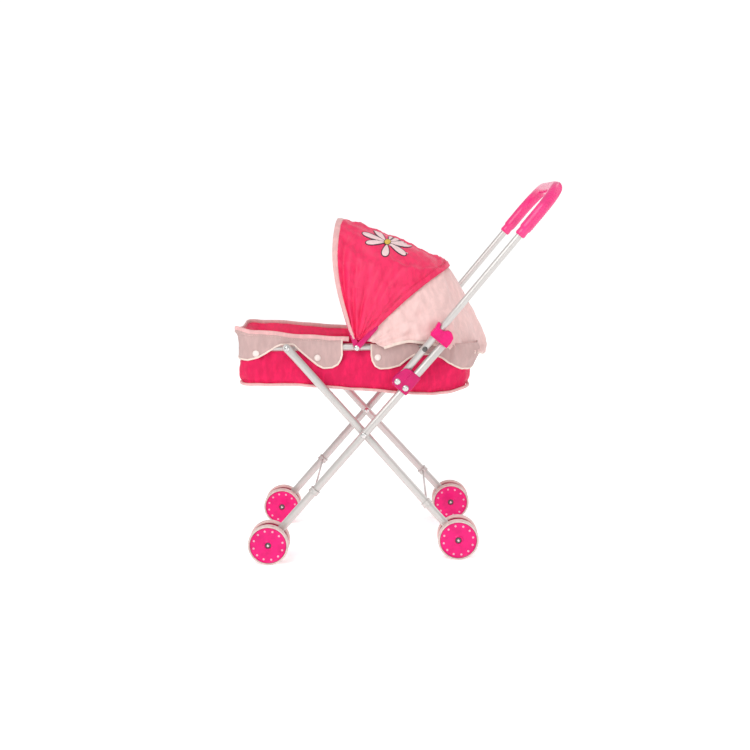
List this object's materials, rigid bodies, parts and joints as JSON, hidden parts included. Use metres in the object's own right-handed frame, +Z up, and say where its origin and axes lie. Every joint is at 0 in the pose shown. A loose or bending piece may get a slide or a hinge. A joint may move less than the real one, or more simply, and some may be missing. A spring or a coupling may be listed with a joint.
{
  "type": "doll stroller",
  "caption": "Folding umbrella-frame doll stroller with a cloth bassinet, a hinged two-bow canopy, twin wheels and a padded push handle.",
  "frame": {"origin": "on the floor, under the middle of the bounding box", "axes": "+Z up; the foot end points to -X and the push handle to +X; the plane y = 0 is the plane of symmetry"},
  "size_m": [0.4881, 0.2572, 0.5533],
  "materials": {
    "tube": "satin light grey lacquer",
    "rivet": "bright",
    "magenta_plastic": "gloss moulding",
    "grip": "soft gloss moulding",
    "rim_plastic": "semi-matt moulding",
    "dark_plastic": "matt",
    "magenta_cloth": "thin woven nylon",
    "pale_cloth": "sheer woven nylon",
    "card": "plain fibreboard"
  },
  "bodies": {
    "front_frame": {"front_leg_left": "tube", "front_leg_right": "tube", "front_brace": "tube", "front_brace_clip_left": "dark_plastic", "front_brace_clip_right": "dark_plastic", "cross_rivet_left": "rivet", "cross_rivet_right": "rivet", "fold_bracket_left": "magenta_plastic", "fold_bracket_right": "magenta_plastic", "fold_rivet_left": "rivet", "fold_rivet_right": "rivet", "bracket_rivet_left": "rivet", "bracket_rivet_right": "rivet", "axle_front_left": "rivet", "axle_front_right": "rivet"},
    "rear_frame": {"rear_brace": "tube", "rear_leg_left": "tube", "rear_leg_right": "tube", "rear_brace_clip_left": "dark_plastic", "rear_brace_clip_right": "dark_plastic", "toe_rivet_left": "rivet", "toe_rivet_right": "rivet", "axle_rear_left": "rivet", "axle_rear_right": "rivet"},
    "handle": {"handle_tube": "tube", "grip": "grip", "handle_bush_left": "dark_plastic", "handle_bush_right": "dark_plastic"},
    "lock_left": {"lock_slider_left": "magenta_plastic"},
    "lock_right": {"lock_slider_right": "magenta_plastic"},
    "bassinet": {"bassinet_rail": "tube", "tub": "magenta_cloth", "base_board": "card", "rim_band": "pale_cloth", "canopy_rear_panel": "pale_cloth", "front_flap_left": "pale_cloth", "front_flap_right": "pale_cloth", "rear_flap_left": "pale_cloth", "rear_flap_right": "pale_cloth", "canopy_rivet_left": "rivet", "canopy_rivet_right": "rivet"},
    "canopy_mid": {"canopy_mid_bow": "magenta_plastic", "canopy_front_panel": "magenta_cloth"},
    "canopy_front": {"canopy_front_bow": "magenta_plastic"},
    "wheel_front_left_outer": {"wheel_front_left_outer_rim": "rim_plastic", "wheel_front_left_outer_disc": "magenta_plastic"},
    "wheel_front_left_inner": {"wheel_front_left_inner_rim": "rim_plastic", "wheel_front_left_inner_disc": "magenta_plastic"},
    "wheel_front_right_outer": {"wheel_front_right_outer_rim": "rim_plastic", "wheel_front_right_outer_disc": "magenta_plastic"},
    "wheel_front_right_inner": {"wheel_front_right_inner_rim": "rim_plastic", "wheel_front_right_inner_disc": "magenta_plastic"},
    "wheel_rear_left_outer": {"wheel_rear_left_outer_rim": "rim_plastic", "wheel_rear_left_outer_disc": "magenta_plastic"},
    "wheel_rear_left_inner": {"wheel_rear_left_inner_rim": "rim_plastic", "wheel_rear_left_inner_disc": "magenta_plastic"},
    "wheel_rear_right_outer": {"wheel_rear_right_outer_rim": "rim_plastic", "wheel_rear_right_outer_disc": "magenta_plastic"},
    "wheel_rear_right_inner": {"wheel_rear_right_inner_rim": "rim_plastic", "wheel_rear_right_inner_disc": "magenta_plastic"}
  },
  "joints": [
    {"name": "handle_fold", "type": "hinge", "parent": "front_frame", "child": "handle", "pos_m": [-0.0061, 0, 0.2707], "axis": [0, -1, 0], "range_deg": [0, 140]},
    {"name": "rear_leg_fold", "type": "hinge", "parent": "front_frame", "child": "rear_frame", "pos_m": [-0.0584, 0, 0.1913], "axis": [0, -1, 0], "range_deg": [0, 74.73]},
    {"name": "bassinet_tilt", "type": "hinge", "parent": "handle", "child": "bassinet", "pos_m": [0.0354, 0, 0.3169], "axis": [0, 1, 0], "range_deg": [0, 94.47]},
    {"name": "lock_left_slide", "type": "slide", "parent": "handle", "child": "lock_left", "axis": [0.6613, 0, 0.7501], "range_m": [0, 0.022]},
    {"name": "lock_right_slide", "type": "slide", "parent": "handle", "child": "lock_right", "axis": [0.6613, 0, 0.7501], "range_m": [0, 0.022]},
    {"name": "canopy_fold", "type": "hinge", "parent": "bassinet", "child": "canopy_mid", "pos_m": [-0.06457, 0, 0.31934], "axis": [0, 1, 0], "range_deg": [0, 25], "deforming": ["canopy_rear_panel"]},
    {"name": "hood_fold", "type": "hinge", "parent": "canopy_mid", "child": "canopy_front", "pos_m": [-0.06457, 0, 0.31934], "axis": [0, 1, 0], "range_deg": [0, 50], "deforming": ["canopy_front_panel"]},
    {"name": "wheel_front_left_outer_spin", "type": "hinge", "parent": "front_frame", "child": "wheel_front_left_outer", "pos_m": [-0.2067, -0.1201, 0.0305], "axis": [0, 1, 0], "continuous": true},
    {"name": "wheel_front_left_inner_spin", "type": "hinge", "parent": "front_frame", "child": "wheel_front_left_inner", "pos_m": [-0.2067, -0.0949, 0.0305], "axis": [0, 1, 0], "continuous": true},
    {"name": "wheel_front_right_outer_spin", "type": "hinge", "parent": "front_frame", "child": "wheel_front_right_outer", "pos_m": [-0.2067, 0.1201, 0.0305], "axis": [0, 1, 0], "continuous": true},
    {"name": "wheel_front_right_inner_spin", "type": "hinge", "parent": "front_frame", "child": "wheel_front_right_inner", "pos_m": [-0.2067, 0.0949, 0.0305], "axis": [0, 1, 0], "continuous": true},
    {"name": "wheel_rear_left_outer_spin", "type": "hinge", "parent": "rear_frame", "child": "wheel_rear_left_outer", "pos_m": [0.0773, -0.1201, 0.0305], "axis": [0, 1, 0], "continuous": true},
    {"name": "wheel_rear_left_inner_spin", "type": "hinge", "parent": "rear_frame", "child": "wheel_rear_left_inner", "pos_m": [0.0773, -0.0949, 0.0305], "axis": [0, 1, 0], "continuous": true},
    {"name": "wheel_rear_right_outer_spin", "type": "hinge", "parent": "rear_frame", "child": "wheel_rear_right_outer", "pos_m": [0.0773, 0.1201, 0.0305], "axis": [0, 1, 0], "continuous": true},
    {"name": "wheel_rear_right_inner_spin", "type": "hinge", "parent": "rear_frame", "child": "wheel_rear_right_inner", "pos_m": [0.0773, 0.0949, 0.0305], "axis": [0, 1, 0], "continuous": true}
  ],
  "couplings": [
    {"joint": "rear_leg_fold", "follows": "handle_fold", "ratio": 0.53344},
    {"joint": "bassinet_tilt", "follows": "handle_fold", "ratio": 0.67446}
  ]
}
